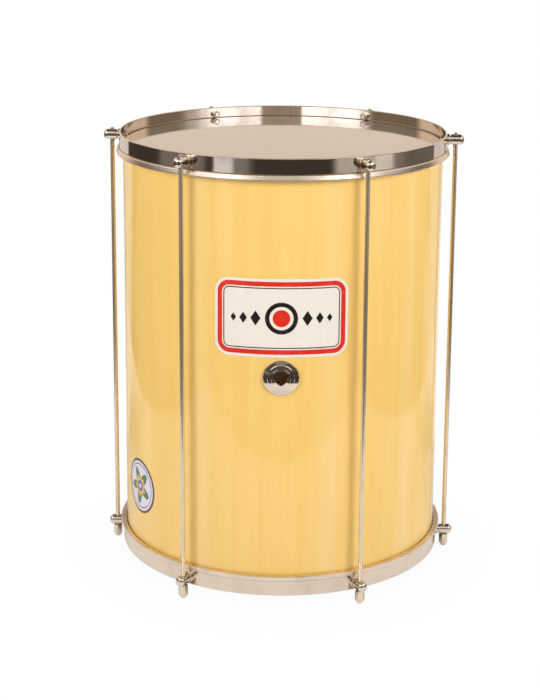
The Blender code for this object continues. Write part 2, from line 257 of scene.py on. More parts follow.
class EffectGroup:
    """A shader node group with named sockets, built once and used by several finishes."""

    def __init__(self, name: str, inputs: dict[str, float], outputs: Sequence[str]) -> None:
        """Makes the empty group.

        Args:
            name: the group's name.
            inputs: the names of its number inputs with their defaults.
            outputs: the names of its number outputs.
        """
        self.tree = bpy.data.node_groups.new(name, "ShaderNodeTree")
        for label, default in inputs.items():
            socket = self.tree.interface.new_socket(label, in_out="INPUT", socket_type="NodeSocketFloat")
            socket.default_value = default
        for label in outputs:
            self.tree.interface.new_socket(label, in_out="OUTPUT", socket_type="NodeSocketFloat")
        self.net = Net(self.tree)
        given = self.tree.nodes.new("NodeGroupInput")
        self.given = {label: self.net.out(given, label) for label in inputs}
        self.results = self.tree.nodes.new("NodeGroupOutput").inputs

    def give(self, **results: Value) -> None:
        """Links the group's results."""
        for label, value in results.items():
            self.net.feed(self.results[label], value)

    def use(self, net: Net, **values: float) -> dict[str, Value]:
        """Places the group in a material's tree.

        Args:
            net: the material's nodes.
            values: the inputs, with underscores for spaces.

        Returns:
            The results by name.
        """
        inputs = {label.replace("_", " "): value for label, value in values.items()}
        node = net.add("ShaderNodeGroup", node_tree=self.tree)
        for label, value in inputs.items():
            net.feed(node.inputs[label], value)
        return {socket.name: Value(net, socket) for socket in node.outputs}


class Effects:
    """The effects that more than one finish uses."""

    def __init__(self) -> None:
        """Builds every group once."""
        self.grain = self.make_grain()
        self.handling = self.make_handling()
        self.dust = self.make_dust()

    @staticmethod
    def make_grain() -> EffectGroup:
        """Wood grain up the drum: wide streaks, arched figure, fine fibres and short pores."""
        sizes = {"Scale": 60.0, "Stretch": 22.0, "Sway": 0.4}
        group = EffectGroup("WoodGrain", sizes, ["Streak", "Figure", "Fibre", "Pore"])
        net, given = group.net, group.given
        place = net.place()
        across = given["Scale"]
        along = across / given["Stretch"]
        shift = (net.noise(place, 5.0, 2.0) - 0.5) * given["Sway"]
        grained = net.vector("MULTIPLY", place, (across, across, along))
        moved = net.vector("ADD", grained, (shift, shift, 0.0))
        swirl = net.noise(net.vector("MULTIPLY", grained, (0.2, 0.2, 0.55)), 1.0, 1.0, 0.4)
        rings = net.maths("PINGPONG", swirl * 18.0, 0.5) * 2.0
        group.give(
            Streak=net.noise(moved, 1.0, 4.0, 0.55),
            Figure=rings.step(0.45, 0.0),
            Fibre=net.noise(moved, 9.0, 2.0, 0.6),
            Pore=net.noise(moved, 17.0, 1.0, 0.4).step(0.62, 0.72),
        )
        return group

    @staticmethod
    def make_handling() -> EffectGroup:
        """Marks of use on a polished surface: smudges, hair-fine scratches and dull flecks."""
        sizes = {"Scale": 30.0, "Scratch Scale": 260.0}
        group = EffectGroup("HandlingMarks", sizes, ["Smudge", "Scratch", "Fleck"])
        net, given = group.net, group.given
        place = net.place()
        drawn = net.vector("MULTIPLY", place, (1.0, 1.0, 14.0))
        group.give(
            Smudge=net.noise(place, given["Scale"], 5.0, 0.6).step(0.42, 0.68),
            Scratch=net.noise(drawn, given["Scratch Scale"], 2.0, 0.7).step(0.56, 0.75),
            Fleck=net.noise(place, given["Scratch Scale"] * 2.4, 1.0, 0.5).step(0.66, 0.74),
        )
        return group

    @staticmethod
    def make_dust() -> EffectGroup:
        """Dust that settles where a surface looks up, broken by noise."""
        group = EffectGroup("SettledDust", {"Amount": 0.3, "Scale": 90.0}, ["Cover"])
        net, given = group.net, group.given
        _, _, upward = net.parts(net.out(net.add("ShaderNodeNewGeometry"), "Normal"))
        flecks = net.noise(net.place(), given["Scale"], 6.0, 0.7).step(0.45, 0.75)
        group.give(Cover=upward.step(0.45, 0.98) * flecks * given["Amount"])
        return group


@dataclass(frozen=True)
class Finish:
    """What every finish has: a name and a way to become a material."""

    name: str

    def start(self) -> tuple[bpy.types.Material, Net, bpy.types.Node]:
        """Makes the material with its one Principled shader.

        Returns:
            The material, its nodes and the shader.
        """
        made = bpy.data.materials.new(self.name)
        made.use_nodes = True
        return made, Net(made.node_tree), made.node_tree.nodes["Principled BSDF"]

    @staticmethod
    def dress(net: Net, shader: bpy.types.Node, **sockets: object) -> None:
        """Feeds the shader's sockets, named with underscores for spaces."""
        for label, value in sockets.items():
            net.feed(shader.inputs[label.replace("_", " ")], value)

    @staticmethod
    def bump(net: Net, height: Value, strength: float, depth: float) -> Value:
        """A normal from a height, through a Bump node."""
        inputs = {"Height": height, "Strength": strength, "Distance": depth}
        return net.out(net.add("ShaderNodeBump", inputs))


@dataclass(frozen=True)
class LaminateFinish(Finish):
    """A glossy pale-yellow laminate with a printed upright grain and a butt seam behind."""

    ground: Colour = linear(246, 207, 121)
    light: Colour = linear(250, 213, 134)
    dark: Colour = linear(240, 197, 105)
    pale: Colour = linear(250, 216, 152)
    pale_bands: tuple[tuple[float, float], ...] = ((-118.0, 5.0), (-73.0, 6.0), (-40.0, 6.0))
    paled: float = 0.45
    # Painted shade above the bottom flesh ring: its colour, the height where it starts and how tall it is.
    grime: Colour = linear(212, 164, 70)
    grime_foot: float = 32.0 * MM
    grime_tall: float = 7.0 * MM
    streaked: float = 0.32
    fibred: float = 0.26
    figured: float = 0.1
    roughness: float = 0.32
    seam: float = math.radians(96.0)
    seam_width: float = 0.35 * MM

    def material(self, effects: Effects) -> bpy.types.Material:
        """Builds the material."""
        made, net, shader = self.start()
        grain = effects.grain.use(net, Scale=95.0, Stretch=30.0, Sway=0.9)
        marks = effects.handling.use(net, Scale=18.0, Scratch_Scale=300.0)
        tones = net.mix(grain["Streak"].step(0.32, 0.68), self.dark, self.light)
        colour = net.mix(self.streaked, self.ground, tones)
        colour = net.mix(grain["Fibre"].step(0.45, 0.8) * self.fibred, colour, self.light)
        colour = net.mix(grain["Figure"] * self.figured, colour, self.dark)
        colour = net.mix(grain["Pore"] * self.fibred, colour, self.dark)
        for angle, half in self.pale_bands:
            away = abs(net.around(math.radians(angle)))
            colour = net.mix(away.step(math.radians(half), 0.0) * self.paled, colour, self.pale)
        # Painted shade: the laminate darkens over a few millimetres above the bottom flesh ring, in place of the
        # ring's contact shadow.
        above = net.parts(net.place())[2] - self.grime_foot
        colour = net.mix(above.step(self.grime_tall, 0.0) * 0.6, colour, self.grime)
        off = abs(net.around(self.seam)) * DRUM.shell_radius
        seam = off.step(self.seam_width, 0.0)
        colour = net.mix(seam * 0.7, colour, linear(150, 106, 58))
        self.dress(
            net,
            shader,
            Base_Color=colour,
            Roughness=marks["Smudge"].ramp(self.roughness, self.roughness + 0.08),
            Specular_IOR_Level=0.0,
            Coat_Weight=1.0,
            Coat_Roughness=0.05,
            Normal=self.bump(net, grain["Fibre"] * 0.15 - seam, 0.25, 0.2 * MM),
        )
        return made


@dataclass(frozen=True)
class FilmFinish(Finish):
    """A milky warm-grey head film, glossy and a little wavy near its rim."""

    ground: Colour = linear(159, 143, 122)
    worn: Colour = linear(147, 132, 112)
    gloss: float = 0.05
    beaten: float = 75.0 * MM

    def material(self, effects: Effects) -> bpy.types.Material:
        """Builds the material."""
        made, net, shader = self.start()
        marks = effects.handling.use(net, Scale=14.0, Scratch_Scale=120.0)
        radius = net.radius()
        struck = radius.step(self.beaten, self.beaten * 0.3) * 0.5
        wear = net.maths("MAXIMUM", marks["Smudge"] * 0.35, struck)
        wave = net.noise(net.place(), 16.0, 1.0, 0.4) * radius.step(0.1, 0.17)
        self.dress(
            net,
            shader,
            Base_Color=net.mix(wear, self.ground, self.worn),
            Roughness=(marks["Smudge"] * 0.03 + marks["Fleck"] * 0.1) + self.gloss,
            Coat_Weight=1.0,
            Coat_Roughness=0.03,
            Normal=self.bump(net, wave, 0.12, 0.6 * MM),
        )
        return made


@dataclass(frozen=True)
class MetalFinish(Finish):
    """A polished or plated metal with smudges, fine scratches, flecks and dust."""

    colour: Colour = (0.84, 0.74, 0.64)
    dulled: Colour = (0.67, 0.59, 0.51)
    roughness: float = 0.06
    spread: float = 0.12
    scratch: float = 0.05
    smudged: float = 0.45
    flecked: float = 0.25
    scale: float = 30.0
    weld: float | None = None
    weld_half: float = 0.9 * MM
    wave: float = 0.0
    metal: float = 1.0

    def material(self, effects: Effects) -> bpy.types.Material:
        """Builds the material."""
        made, net, shader = self.start()
        marks = effects.handling.use(net, Scale=self.scale, Scratch_Scale=self.scale * 12.0)
        cover = effects.dust.use(net, Amount=0.3, Scale=self.scale * 4.0)["Cover"]
        dull = marks["Smudge"] * self.smudged + marks["Fleck"] * self.flecked + cover
        height = marks["Scratch"] * 0.6
        if self.weld is not None:
            off = abs(net.around(self.weld)) * DRUM.band_outer
            ground = off.step(self.weld_half, self.weld_half * 0.5)
            dull = dull + ground * 0.7
            height = height + ground * 2.0
            rolled = net.vector("MULTIPLY", net.place(), (1.0, 1.0, 0.08))
            height = height + net.noise(rolled, 55.0, 2.0, 0.5) * self.wave
        dull = net.maths("MINIMUM", dull, 1.0)
        rough = dull.ramp(self.roughness, self.roughness + self.spread)
        self.dress(
            net,
            shader,
            Base_Color=net.mix(dull, self.colour, self.dulled),
            Metallic=self.metal,
            Roughness=rough + marks["Scratch"] * self.scratch,
            Normal=self.bump(net, height, 0.05, 0.05 * MM),
        )
        return made


@dataclass(frozen=True)
class PlyFinish(Finish):
    """Bare birch plywood, its layers showing at the edges and its grain on the walls."""

    light: Colour = linear(222, 186, 134)
    dark: Colour = linear(176, 132, 82)
    inner: float = 170.4 * MM
    layer: float = 2.1 * MM
    # Strength of a faint painted glow on the shell's inner wall.
    lit_through: float = 0.04

    def material(self, effects: Effects) -> bpy.types.Material:
        """Builds the material."""
        made, net, shader = self.start()
        grain = effects.grain.use(net, Scale=55.0, Stretch=14.0, Sway=2.0)
        cover = effects.dust.use(net, Amount=0.25, Scale=120.0)["Cover"]
        depth = (net.radius() - self.inner) / self.layer
        glue = net.maths("PINGPONG", depth, 0.5).step(0.46, 0.5)
        wood = net.mix(grain["Streak"].step(0.3, 0.7), self.dark, self.light)
        glued = net.mix(glue * 0.6, wood, self.dark)
        self.dress(
            net,
            shader,
            Base_Color=net.mix(cover, glued, self.light),
            Roughness=grain["Fibre"].ramp(0.5, 0.72),
            # Painted glow: the inner wall emits its own wood colour faintly, in place of light inside the drum.
            Emission_Color=net.mix(net.radius().step(self.inner, self.inner + MM), glued, (0.0, 0.0, 0.0)),
            Emission_Strength=self.lit_through,
            Normal=self.bump(net, grain["Fibre"], 0.2, 0.3 * MM),
        )
        return made


@dataclass(frozen=True)
class StickerFinish(Finish):
    """Printed vinyl on the shell. The print is laid out in the sticker's own plane."""

    angle: float = -QUARTER
    height: float = 319.6 * MM
    edge: float = 0.25 * MM

    def plane(self, net: Net) -> tuple[Value, Value, Value]:
        """The place on the sticker.

        Args:
            net: the material's nodes.

        Returns:
            The way round the drum, the way up and the distance from the sticker's middle, in metres.
        """
        across = net.around(self.angle) * DRUM.shell_radius
        up = net.parts(net.place())[2] - self.height
        return across, up, net.maths("SQRT", across * across + up * up)

    def coat(
        self, net: Net, shader: bpy.types.Node, effects: Effects, print_colour: Value
    ) -> None:
        """Feeds the print and the vinyl's gloss, with scuffs."""
        marks = effects.handling.use(net, Scale=60.0, Scratch_Scale=500.0)
        self.dress(
            net,
            shader,
            Base_Color=net.mix(marks["Scratch"] * 0.12, print_colour, linear(200, 190, 180)),
            Roughness=marks["Smudge"].ramp(0.16, 0.3),
            Coat_Weight=0.3,
            Normal=self.bump(net, marks["Smudge"], 0.05, 0.05 * MM),
        )


@dataclass(frozen=True)
class LabelFinish(StickerFinish):
    """The large label: a white ground, a red frame and a plain row of rings and lozenges."""

    width: float = 142.0 * MM
    tall: float = 84.0 * MM
    corner: float = 16.0 * MM
    ground: Colour = linear(240, 232, 223)
    red: Colour = linear(222, 46, 32)
    black: Colour = linear(34, 30, 30)
    frame_band: tuple[float, float] = (3.2 * MM, 8.0 * MM)
    hairline: tuple[float, float] = (9.6 * MM, 10.5 * MM)
    ring: tuple[float, float] = (12.6 * MM, 17.0 * MM)
    disc: float = 9.0 * MM
    lozenges: tuple[tuple[float, float], ...] = ((27.0 * MM, 8.0 * MM), (40.0 * MM, 6.0 * MM), (50.5 * MM, 4.4 * MM))
    lozenge_slope: float = 1.5

    def material(self, effects: Effects) -> bpy.types.Material:
        """Builds the material."""
        made, net, shader = self.start()
        across, up, radius = self.plane(net)
        inset = self.inset(net, across, up)
        colour = net.mix(inset.band(*self.frame_band, self.edge), self.ground, self.red)
        colour = net.mix(inset.band(*self.hairline, self.edge), colour, self.black)
        colour = net.mix(radius.band(*self.ring, self.edge), colour, self.black)
        colour = net.mix(radius.step(self.disc + self.edge, self.disc), colour, self.red)
        for centre, half in self.lozenges:
            slope = abs(abs(across) - centre) * self.lozenge_slope + abs(up)
            colour = net.mix(slope.step(half + self.edge, half), colour, self.black)
        self.coat(net, shader, effects, colour)
        return made

    def inset(self, net: Net, across: Value, up: Value) -> Value:
        """How far a place is inside the label's rounded outline.

        Args:
            net: the material's nodes.
            across: the way round the drum.
            up: the way up.

        Returns:
            The distance in metres, positive inside.
        """
        sides = abs(across) - (self.width / 2.0 - self.corner)
        ends = abs(up) - (self.tall / 2.0 - self.corner)
        past_side = net.maths("MAXIMUM", sides, 0.0)
        past_end = net.maths("MAXIMUM", ends, 0.0)
        rounded = net.maths("SQRT", past_side * past_side + past_end * past_end)
        inner = net.maths("MINIMUM", net.maths("MAXIMUM", sides, ends), 0.0)
        return (rounded + inner) * -1.0 + self.corner


@dataclass(frozen=True)
class BadgeFinish(StickerFinish):
    """The small round badge: a dark rim, a pale ground and a plain rosette."""

    angle: float = math.radians(-151.0)
    height: float = 99.7 * MM
    tilt: float = 0.45
    ground: Colour = linear(226, 216, 232)
    rim: Colour = linear(60, 54, 66)
    green: Colour = linear(58, 108, 66)
    yellow: Colour = linear(226, 186, 52)
    purple: Colour = linear(104, 76, 160)
    leaf: tuple[float, float] = (15.4 * MM, 6.2 * MM)
    star: tuple[float, float] = (10.6 * MM, 1.8 * MM)
    eye: float = 6.6 * MM
    pupil: float = 2.6 * MM
    rings: tuple[tuple[float, float], ...] = ((28.6 * MM, 37.0 * MM), (24.6 * MM, 25.4 * MM))

    def material(self, effects: Effects) -> bpy.types.Material:
        """Builds the material."""
        made, net, shader = self.start()
        across, up, radius = self.plane(net)
        turn = net.maths("ARCTAN2", up, across) + self.tilt
        colour: Value | Colour = self.ground
        for (reach, swing), points, shade in ((self.leaf, 5.0, self.green), (self.star, 10.0, self.yellow)):
            border = net.maths("COSINE", turn * points) * swing + reach
            colour = net.mix((radius - border).step(self.edge, 0.0), colour, shade)
        colour = net.mix(radius.step(self.eye + self.edge, self.eye), colour, self.purple)
        colour = net.mix(radius.step(self.pupil + self.edge, self.pupil), colour, self.ground)
        for start, finish in self.rings:
            colour = net.mix(radius.band(start, finish, self.edge), colour, self.rim)
        self.coat(net, shader, effects, colour)
        return made


class Finishes:
    """Every material of the drum, by the name of its slot."""

    def __init__(self) -> None:
        """Builds the effects and the materials."""
        effects = Effects()
        chosen = {
            "ply": PlyFinish("birch_ply"),
            "laminate": LaminateFinish("yellow_laminate"),
            "film": FilmFinish("head_film"),
            "chrome": MetalFinish("polished_chrome"),
            "hoop": MetalFinish(
                "polished_hoop", colour=(0.84, 0.7, 0.58), dulled=(0.67, 0.56, 0.46), weld=DRUM.weld, wave=30.0
            ),
            "bright": MetalFinish(
                "bright_plate", colour=(0.9, 0.78, 0.66), roughness=0.27, scratch=0.08, flecked=0.0
            ),
            "rod": MetalFinish(
                "plated_rod",
                colour=(0.84, 0.7, 0.52),
                roughness=0.2,
                smudged=0.3,
                flecked=0.0,
                scale=60.0,
                metal=0.87,
            ),
            "nut": MetalFinish(
                "plated_brass", colour=(0.89, 0.76, 0.59), dulled=(0.64, 0.51, 0.35), roughness=0.13, scale=90.0
            ),
            "label": LabelFinish("printed_label"),
            "badge": BadgeFinish("printed_badge"),
        }
        self.made = {slot: finish.material(effects) for slot, finish in chosen.items()}

    def __getitem__(self, slot: str) -> bpy.types.Material:
        """The material of a slot."""
        return self.made[slot]


def eased(corners: Sequence[Corner], closed: bool, steps: int = 4) -> Profile:
    """Rounds the corners of a profile, with a guard point past each rounding to keep the flats flat.

    Args:
        corners: radius, height and the corner's own rounding.
        closed: whether the last corner joins the first.
        steps: how many facets each rounding gets.

    Returns:
        The finer profile.
    """
    made: Profile = []
    count = len(corners)
    for index, (radius, height, ease) in enumerate(corners):
        here = Vector((radius, height))
        ends = not closed and index in (0, count - 1)
        if ease <= 0.0 or ends:
            made.append((radius, height))
            continue
        sides = [Vector(corners[(index + step) % count][:2]) - here for step in (-1, 1)]
        start, finish = (here + side.normalized() * min(ease, side.length * 0.46) for side in sides)
        guards = [here + side.normalized() * min(ease * GUARD, side.length * 0.485) for side in sides]
        arc = [guards[0]]
        for part in range(steps + 1):
            share = part / steps
            arc.append(start * (1 - share) ** 2 + here * 2 * share * (1 - share) + finish * share**2)
        arc.append(guards[1])
        made += [(point.x, point.y) for point in arc]
    return made


def smooth(mesh: bpy.types.Mesh, sharp: float = 38.0) -> bpy.types.Mesh:
    """Shades a mesh smooth and keeps its edges that are sharper than an angle in degrees."""
    mesh.shade_smooth()
    mesh.set_sharp_from_angle(angle=math.radians(sharp))
    return mesh


def mesh_of(shape: bmesh.types.BMesh, name: str) -> bpy.types.Mesh:
    """Turns a bmesh into a smooth mesh whose faces point out."""
    bmesh.ops.recalc_face_normals(shape, faces=shape.faces[:])
    mesh = bpy.data.meshes.new(name)
    shape.to_mesh(mesh)
    shape.free()
    return smooth(mesh)


def turned(name: str, profile: Profile, segments: int, closed: bool = False) -> bpy.types.Mesh:
    """Turns a profile round Z.

    Args:
        name: the mesh's name.
        profile: points of radius and height. An open profile of a solid starts and ends on the axis.
        segments: facets round the axis.
        closed: whether the profile makes a ring.

    Returns:
        The mesh.
    """
    shape = bmesh.new()
    rings = []
    for radius, height in profile:
        if radius <= 0.0:
            rings.append([shape.verts.new((0.0, 0.0, height))])
            continue
        turns = (2.0 * math.pi * index / segments for index in range(segments))
        rings.append([shape.verts.new((radius * math.cos(t), radius * math.sin(t), height)) for t in turns])
    pairs = list(zip(rings, rings[1:]))
    if closed:
        pairs.append((rings[-1], rings[0]))
    for first, second in pairs:
        for index in range(segments):
            after = (index + 1) % segments
            corners = [first[index % len(first)], first[after % len(first)]]
            corners += [second[after % len(second)], second[index % len(second)]]
            shape.faces.new(list(dict.fromkeys(corners)))
    return mesh_of(shape, name)


def rod_of(name: str, radius: float, low: float, high: float, segments: int = 32) -> bpy.types.Mesh:
    """An upright cylinder with flat ends."""
    return turned(name, [(0.0, low), (radius, low), (radius, high), (0.0, high)], segments)


def prism(name: str, across_flats: float, low: float, high: float) -> bpy.types.Mesh:
    """An upright hexagonal blank with flat ends."""
    return rod_of(name, across_flats / 2.0 / math.cos(math.pi / 6.0), low, high, 6)


def object_of(mesh: bpy.types.Mesh, name: str) -> bpy.types.Object:
    """Puts a mesh in the scene under a name."""
    made = bpy.data.objects.new(name, mesh)
    bpy.context.scene.collection.objects.link(made)
    return made


def evaluated(obj: bpy.types.Object, name: str) -> bpy.types.Mesh:
    """The object's mesh with its modifiers done. The object itself is removed."""
    bpy.context.view_layer.update()
    graph = bpy.context.evaluated_depsgraph_get()
    mesh = bpy.data.meshes.new_from_object(obj.evaluated_get(graph))
    mesh.name = name
    bpy.data.objects.remove(obj, do_unlink=True)
    return mesh


def combined(target: bpy.types.Mesh, tool: bpy.types.Mesh, operation: str, name: str) -> bpy.types.Mesh:
    """Joins two meshes by an exact Boolean.

    Args:
        target: the mesh that is kept.
        tool: the mesh that cuts it or meets it.
        operation: DIFFERENCE or INTERSECT.
        name: the new mesh's name.

    Returns:
        The result, shaded smooth.
    """
    blank = object_of(target, name + "_blank")
    cutter = object_of(tool, name + "_tool")
    modifier = blank.modifiers.new("shape", "BOOLEAN")
    modifier.operation = operation
    modifier.solver = "EXACT"
    modifier.object = cutter
    made = evaluated(blank, name)
    bpy.data.objects.remove(cutter, do_unlink=True)
    return smooth(made)


class RoundTheDrum:
    """A Geometry Nodes tree that sets copies of one part round the drum's axis."""

    inputs = {
        "Count": "NodeSocketInt",
        "First Angle": "NodeSocketFloat",
        "Step": "NodeSocketFloat",
        "Radius": "NodeSocketFloat",
        "Height": "NodeSocketFloat",
        "Twist": "NodeSocketFloat",
        "Seed": "NodeSocketInt",
        "Finish": "NodeSocketMaterial",
    }

    def __init__(self) -> None:
        """Builds the tree with its named inputs."""
        self.tree = bpy.data.node_groups.new("RoundTheDrum", "GeometryNodeTree")
        face = self.tree.interface
        face.new_socket("Geometry", in_out="INPUT", socket_type="NodeSocketGeometry")
        self.sockets = {
            label: face.new_socket(label, in_out="INPUT", socket_type=kind).identifier
            for label, kind in self.inputs.items()
        }
        face.new_socket("Geometry", in_out="OUTPUT", socket_type="NodeSocketGeometry")
        net = Net(self.tree)
        source = self.tree.nodes.new("NodeGroupInput")
        given = {label: net.out(source, label) for label in ("Geometry", *self.inputs)}
        index = net.out(net.add("GeometryNodeInputIndex"))
        angle = index * given["Step"] + given["First Angle"]
        across = net.maths("COSINE", angle) * given["Radius"]
        along = net.maths("SINE", angle) * given["Radius"]
        place = net.out(net.add("ShaderNodeCombineXYZ", {0: across, 1: along, 2: given["Height"]}))
        points = net.out(net.add("GeometryNodePoints", {"Count": given["Count"], "Position": place}))
        random = net.add("FunctionNodeRandomValue", {"Seed": given["Seed"]}, data_type="FLOAT")
        turn = angle + net.out(random, 1) * given["Twist"]
        euler = net.out(net.add("ShaderNodeCombineXYZ", {2: turn}))
        rotation = net.out(net.add("FunctionNodeEulerToRotation", {0: euler}))
        inputs = {"Points": points, "Instance": given["Geometry"], "Rotation": rotation}
        copies = net.out(net.add("GeometryNodeInstanceOnPoints", inputs))
        solid = net.out(net.add("GeometryNodeRealizeInstances", {0: copies}))
        inputs = {"Geometry": solid, "Material": given["Finish"]}
        dressed = net.out(net.add("GeometryNodeSetMaterial", inputs))
        net.feed(self.tree.nodes.new("NodeGroupOutput").inputs[0], dressed)

    def spread(
        self, part: bpy.types.Mesh, name: str, finish: bpy.types.Material | None, **values: float
    ) -> bpy.types.Mesh:
        """Sets copies of a part round the drum.

        Args:
            part: the one part, facing +X.
            name: the new mesh's name.
            finish: its material, or None on a cutter.
            values: the tree's inputs, with underscores for spaces.

        Returns:
            One mesh of all the copies.
        """
        carrier = object_of(part, name + "_carrier")
        modifier = carrier.modifiers.new("round_the_drum", "NODES")
        modifier.node_group = self.tree
        settings = {
            "Count": DRUM.rod_count,
            "First_Angle": DRUM.first_rod,
            "Step": DRUM.rod_step,
            "Radius": DRUM.rod_circle,
            "Height": 0.0,
            "Twist": 0.0,
            "Seed": 0,
            **values,
        }
        for label, value in settings.items():
            modifier[self.sockets[label.replace("_", " ")]] = value
        modifier[self.sockets["Finish"]] = finish
        return evaluated(carrier, name)


def hand_over(
    mesh: bpy.types.Mesh,
    name: str,
    body: str,
    finish: bpy.types.Material,
    replaced: Iterable[str],
) -> None:
    """Makes a piece of a mesh, with its material, its body and the nodes it stands for.

    Args:
        mesh: the piece's mesh, in its place.
        name: the piece's name.
        body: the body that it rides on.
        finish: its material.
        replaced: the CAD nodes that it stands for.
    """
    piece = object_of(mesh, name)
    mesh.materials.clear()
    mesh.materials.append(finish)
    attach(piece, body)
    names = list(replaced)
    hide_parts(*names)
    LOG.info("%s on %s stands for %s", name, body, ", ".join(names))


def dress_node(node: str, finish: bpy.types.Material) -> None:
    """Gives a CAD node that stays its own finish."""
    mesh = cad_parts[node].data
    mesh.materials.clear()
    mesh.materials.append(finish)
    LOG.info("%s keeps its CAD shape", node)


def moved(mesh: bpy.types.Mesh, *steps: Matrix) -> bpy.types.Mesh:
    """Turns and moves a mesh in its own points, one step after the other."""
    for step in steps:
        mesh.transform(step)
    return mesh


@dataclass
class Shell:
    """The plywood tube and its laminate skin with the vent hole."""

    skin: float = 0.8 * MM
    short_of_edge: float = 3.0 * MM
    ease: float = 0.25 * MM
    hole: float = 10.6 * MM
    drill_reach: float = 50.0 * MM
    segments: int = 256

    def build(self, finishes: Finishes) -> None:
        """Makes the skin and dresses the plywood."""
        end = DRUM.shell_edge - self.short_of_edge
        outer = DRUM.shell_radius
        inner = outer - self.skin
        corners = [(outer, end, self.ease), (inner, end, 0.0), (inner, -end, 0.0), (outer, -end, self.ease)]
        sleeve = turned("laminate_sleeve", eased(corners, True, 2), self.segments, True)
        moved(sleeve, Matrix.Translation((0.0, 0.0, DRUM.middle)))
        drill = moved(
            rod_of("vent_drill", self.hole, 0.0, self.drill_reach, 64),
            Matrix.Rotation(QUARTER, 4, "X"),
            Matrix.Translation((0.0, self.drill_reach / 2.0 - outer, DRUM.vent)),
        )
        made = combined(sleeve, drill, "DIFFERENCE", "laminate_sleeve")
        finish = finishes["laminate"]
        hand_over(made, "laminate_sleeve", Body.DRUM.value, finish, ["shell_laminate"])
        dress_node("shell", finishes["ply"])


@dataclass
class DrumEnd:
    """One end of the drum: its film, its flesh ring and its counterhoop."""

    end: End
    film: float = 0.25 * MM
    on_edge: float = 0.12 * MM
    film_round: float = 2.4 * MM
    lip: float = 3.0 * MM
    gap: float = 0.3 * MM
    ring_inner: float = 179.2 * MM
    ring_outer: float = 185.2 * MM
    ring_slope: float = 1.9 * MM
    ring_round: float = 1.3 * MM
    small_round: float = 0.5 * MM
    groove_depth: float = 2.4 * MM
    groove_half: float = 0.55 * MM
    band_edge: float = 0.8 * MM
    band_foot: float = 0.3 * MM
    shank_hole: float = 2.8 * MM
    drill_reach: float = 5.0 * MM
    segments: int = 240

    @property
    def lip_height(self) -> float:
        """The height of the film's lip inside the flesh ring."""
        return DRUM.ring_low + (DRUM.ring_top - DRUM.ring_low) * 0.45

    def film_profile(self) -> Profile:
        """The film's section: under side out to the lip, then the upper side back."""
        low = DRUM.shell_edge + self.on_edge
        side = DRUM.shell_radius + self.gap
        skin = self.film
        tip = side + self.lip
        lip = self.lip_height
        corners = [
            (0.0, low, 0.0),
            (side * 0.5, low, 0.0),
            (side, low, self.film_round),
            (side, lip, 0.0),
            (tip, lip, 0.0),
            (tip, lip + skin, 0.0),
            (side + skin, lip + skin, 0.0),
            (side + skin, low + skin, self.film_round + skin),
            (side * 0.5, low + skin, 0.0),
            (0.0, low + skin, 0.0),
        ]
        return eased(corners, False, 6)

    def ring_profile(self) -> Profile:
        """The flesh ring's section, flared towards the shell, with its groove for the lip."""
        lip = self.lip_height + self.film / 2.0
        deep = self.ring_inner + self.groove_depth
        corners = [
            (self.ring_inner, DRUM.ring_top, self.small_round),
            (self.ring_outer - self.ring_slope, DRUM.ring_top, self.ring_round),
            (self.ring_outer, DRUM.ring_low, self.ring_round),
            (self.ring_inner, DRUM.ring_low, self.small_round),
            (self.ring_inner, lip - self.groove_half, 0.0),
            (deep, lip - self.groove_half, 0.0),
            (deep, lip + self.groove_half, 0.0),
            (self.ring_inner, lip + self.groove_half, 0.0),
        ]
        return eased(corners, True, 6)

    def band_profile(self) -> Profile:
        """The counterhoop's flat section with its edges rolled over."""
        corners = [
            (DRUM.band_inner, DRUM.band_low, self.band_foot),
            (DRUM.band_inner, DRUM.rim, self.band_edge),
            (DRUM.band_outer, DRUM.rim, self.band_edge),
            (DRUM.band_outer, DRUM.band_low, self.band_foot),
        ]
        return eased(corners, True, 5)

    def solid(self, name: str, profile: Profile, closed: bool) -> bpy.types.Mesh:
        """Turns a profile at this end, at its height above the floor."""
        placed = [(radius, DRUM.middle + self.end.value * height) for radius, height in profile]
        return turned(name, placed, self.segments, closed)

    def drills(self, spreader: RoundTheDrum) -> bpy.types.Mesh:
        """The cutters for the pins' shanks, all round the counterhoop."""
        name = f"shank_drills_{self.end.word}"
        one = rod_of(name, self.shank_hole, -self.drill_reach, self.drill_reach)
        moved(one, Matrix.Rotation(QUARTER, 4, "Y"))
        height = DRUM.middle + self.end.value * DRUM.pin_height
        middle = (DRUM.band_inner + DRUM.band_outer) / 2.0
        return spreader.spread(one, name, None, Radius=middle, Height=height)

    def build(self, finishes: Finishes, spreader: RoundTheDrum) -> None:
        """Makes the three pieces of this end."""
        word = self.end.word
        drum = Body.DRUM.value
        top = self.end is End.TOP
        film = self.solid(f"film_{word}", self.film_profile(), False)
        name = "played_film" if top else "bottom_film"
        hand_over(film, name, drum, finishes["film"], [f"head_{word}"])
        name = f"flesh_ring_{word}"
        ring = self.solid(name, self.ring_profile(), True)
        hand_over(ring, name, drum, finishes["bright"], [f"flesh_hoop_{word}"])
        name = f"counterhoop_{word}"
        band = self.solid(name, self.band_profile(), True)
        drilled = combined(band, self.drills(spreader), "DIFFERENCE", name)
        body = Body.TOP_HOOP.value if top else drum
        hand_over(drilled, name, body, finishes["hoop"], [f"hoop_{word}"])


